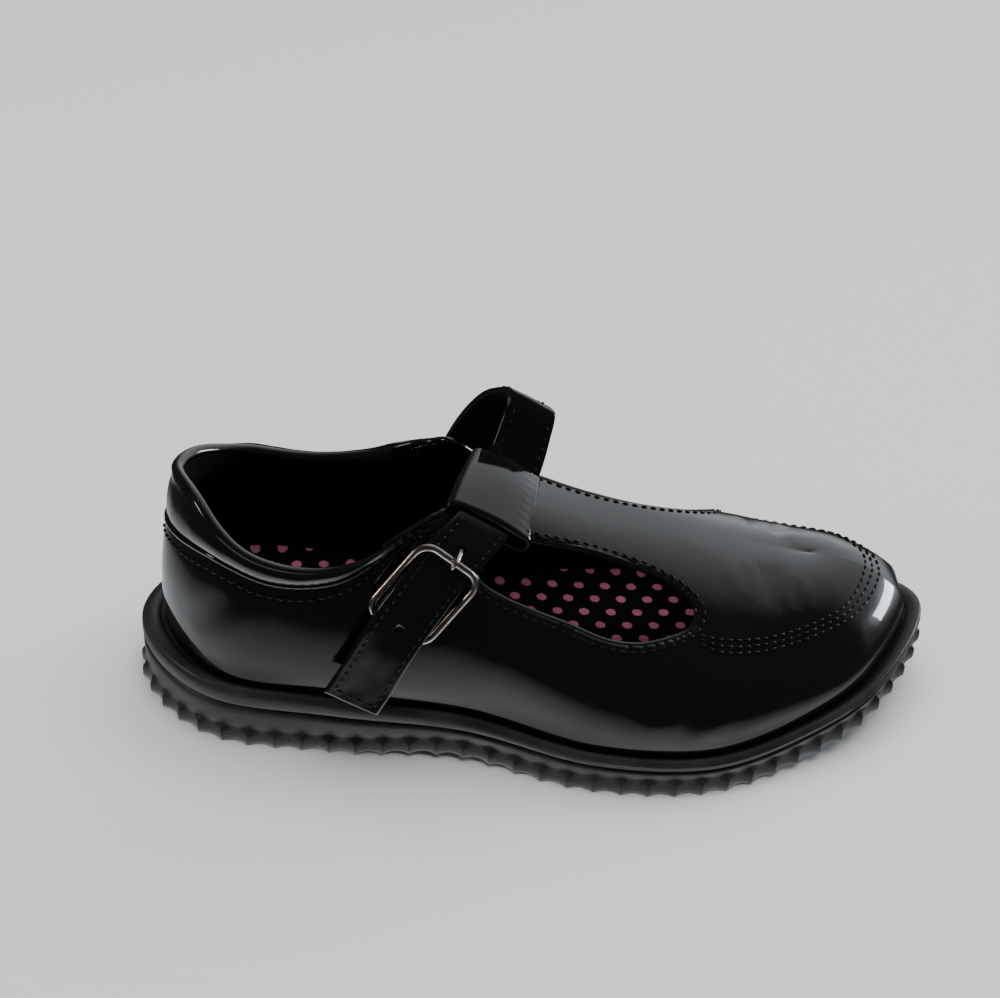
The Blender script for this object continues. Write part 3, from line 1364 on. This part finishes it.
# ------------------------------------------------------------------ studio
def studio():
    mesh = bpy.data.meshes.new("floor")
    reach = 6.0
    corners = [(-reach, -reach, 0), (reach, -reach, 0), (reach, reach, 0), (-reach, reach, 0)]
    mesh.from_pydata(corners, [], [(0, 1, 2, 3)])
    mesh.materials.append(floor_paint())
    floor = bpy.data.objects.new("floor", mesh)
    bpy.context.scene.collection.objects.link(floor)
    floor.visible_glossy = False
    sky()
    soft_box("overhead", (0.05, 0.10, 1.50), (0.0, 0.0, 0.0), 1.6, 1.4, 30, (1.0, 0.99, 0.975), False)
    soft_box("window", (1.22, 0.52, 0.22), (0.06, 0.0, 0.04), 0.50, 0.26, 8, (0.88, 0.94, 1.0), True)
    soft_box("side window", (-1.15, -0.30, 0.50), (0.0, 0.0, 0.04), 0.22, 0.40, 2.5, (1.0, 0.88, 0.74), True)


def sky():
    """The room that mirror rays see: pale wall behind, dark in front, pale again straight down.

    The floor is hidden from mirror rays, so the pale part below stands in for it on the leather.
    """
    world = bpy.data.worlds.new("studio")
    bpy.context.scene.world = world
    world.use_nodes = True
    nodes = world.node_tree.nodes
    links = world.node_tree.links
    place = nodes.new("ShaderNodeTexCoord")
    split = nodes.new("ShaderNodeSeparateXYZ")
    links.new(place.outputs["Generated"], split.inputs["Vector"])
    back = mapped(nodes, links, split.outputs["Y"], 0.0, 0.75, 0, 1)
    above = mapped(nodes, links, split.outputs["Z"], -0.25, 0.05, 0, 1)
    below = mapped(nodes, links, split.outputs["Z"], -0.45, -0.85, 0, FLOOR_LIGHT)
    beside_toe = mapped(nodes, links, split.outputs["X"], -0.3, 0.12, 0, 1)
    wall = math_node(nodes, links, "MULTIPLY", math_node(nodes, links, "MULTIPLY", back, above), beside_toe)
    lit = math_node(nodes, links, "MULTIPLY", wall, ROOM_LIGHT)
    strength = math_node(nodes, links, "ADD", lit, below)
    lifted = math_node(nodes, links, "ADD", strength, ROOM_DARK)
    nodes["Background"].inputs["Color"].default_value = (0.92, 0.96, 1.0, 1)
    links.new(lifted, nodes["Background"].inputs["Strength"])


ROOM_LIGHT = 1.05
FLOOR_LIGHT = 1.7
ROOM_DARK = 0.045


def soft_box(name, place, aim, width, height, watts, colour, mirrored):
    light = bpy.data.lights.new(name, "AREA")
    light.shape = "RECTANGLE"
    light.size = width
    light.size_y = height
    light.energy = watts
    light.color = colour
    lamp = bpy.data.objects.new(name, light)
    lamp.location = place
    lamp.rotation_euler = (Vector(aim) - Vector(place)).to_track_quat("-Z", "Y").to_euler()
    lamp.visible_glossy = mirrored
    bpy.context.scene.collection.objects.link(lamp)


CAMERA_AZIMUTH = -1.7
CAMERA_ELEVATION = 34.8
CAMERA_ROLL = 4.05
CAMERA_DISTANCE = 631.0
CAMERA_TARGET = np.array([-10.4, 58.9, 20.0])
CAMERA_LENS = 78.5


def camera():
    azimuth = math.radians(CAMERA_AZIMUTH)
    elevation = math.radians(CAMERA_ELEVATION)
    roll = math.radians(CAMERA_ROLL)
    back = np.array([math.sin(azimuth) * math.cos(elevation), -math.cos(azimuth) * math.cos(elevation),
                     math.sin(elevation)])
    right = np.array([math.cos(azimuth), math.sin(azimuth), 0.0])
    up = np.cross(back, right)
    local_x = math.cos(roll) * right + math.sin(roll) * up
    local_y = -math.sin(roll) * right + math.cos(roll) * up
    data = bpy.data.cameras.new("camera")
    data.lens = CAMERA_LENS
    data.sensor_width = 36
    data.clip_start = 0.01
    eye = bpy.data.objects.new("camera", data)
    matrix = np.eye(4)
    matrix[:3, 0] = local_x
    matrix[:3, 1] = local_y
    matrix[:3, 2] = back
    matrix[:3, 3] = (CAMERA_TARGET + back * CAMERA_DISTANCE) * MM
    eye.matrix_world = Matrix(matrix.tolist())
    bpy.context.scene.collection.objects.link(eye)
    bpy.context.scene.camera = eye


def chape_finish():
    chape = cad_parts["buckle_chape"]
    chape.data.materials.clear()
    chape.data.materials.append(PATENT)


def build():
    camera()
    studio()
    shell = upper()
    edge_beads(shell)
    stitching(shell)
    collar()
    outsole()
    midsole()
    welt_line()
    insole()
    ankle_strap()
    strap_stitches()
    loop_stitches(*strap_loop())
    buckle_frame()
    buckle_prong()
    chape_finish()


build()
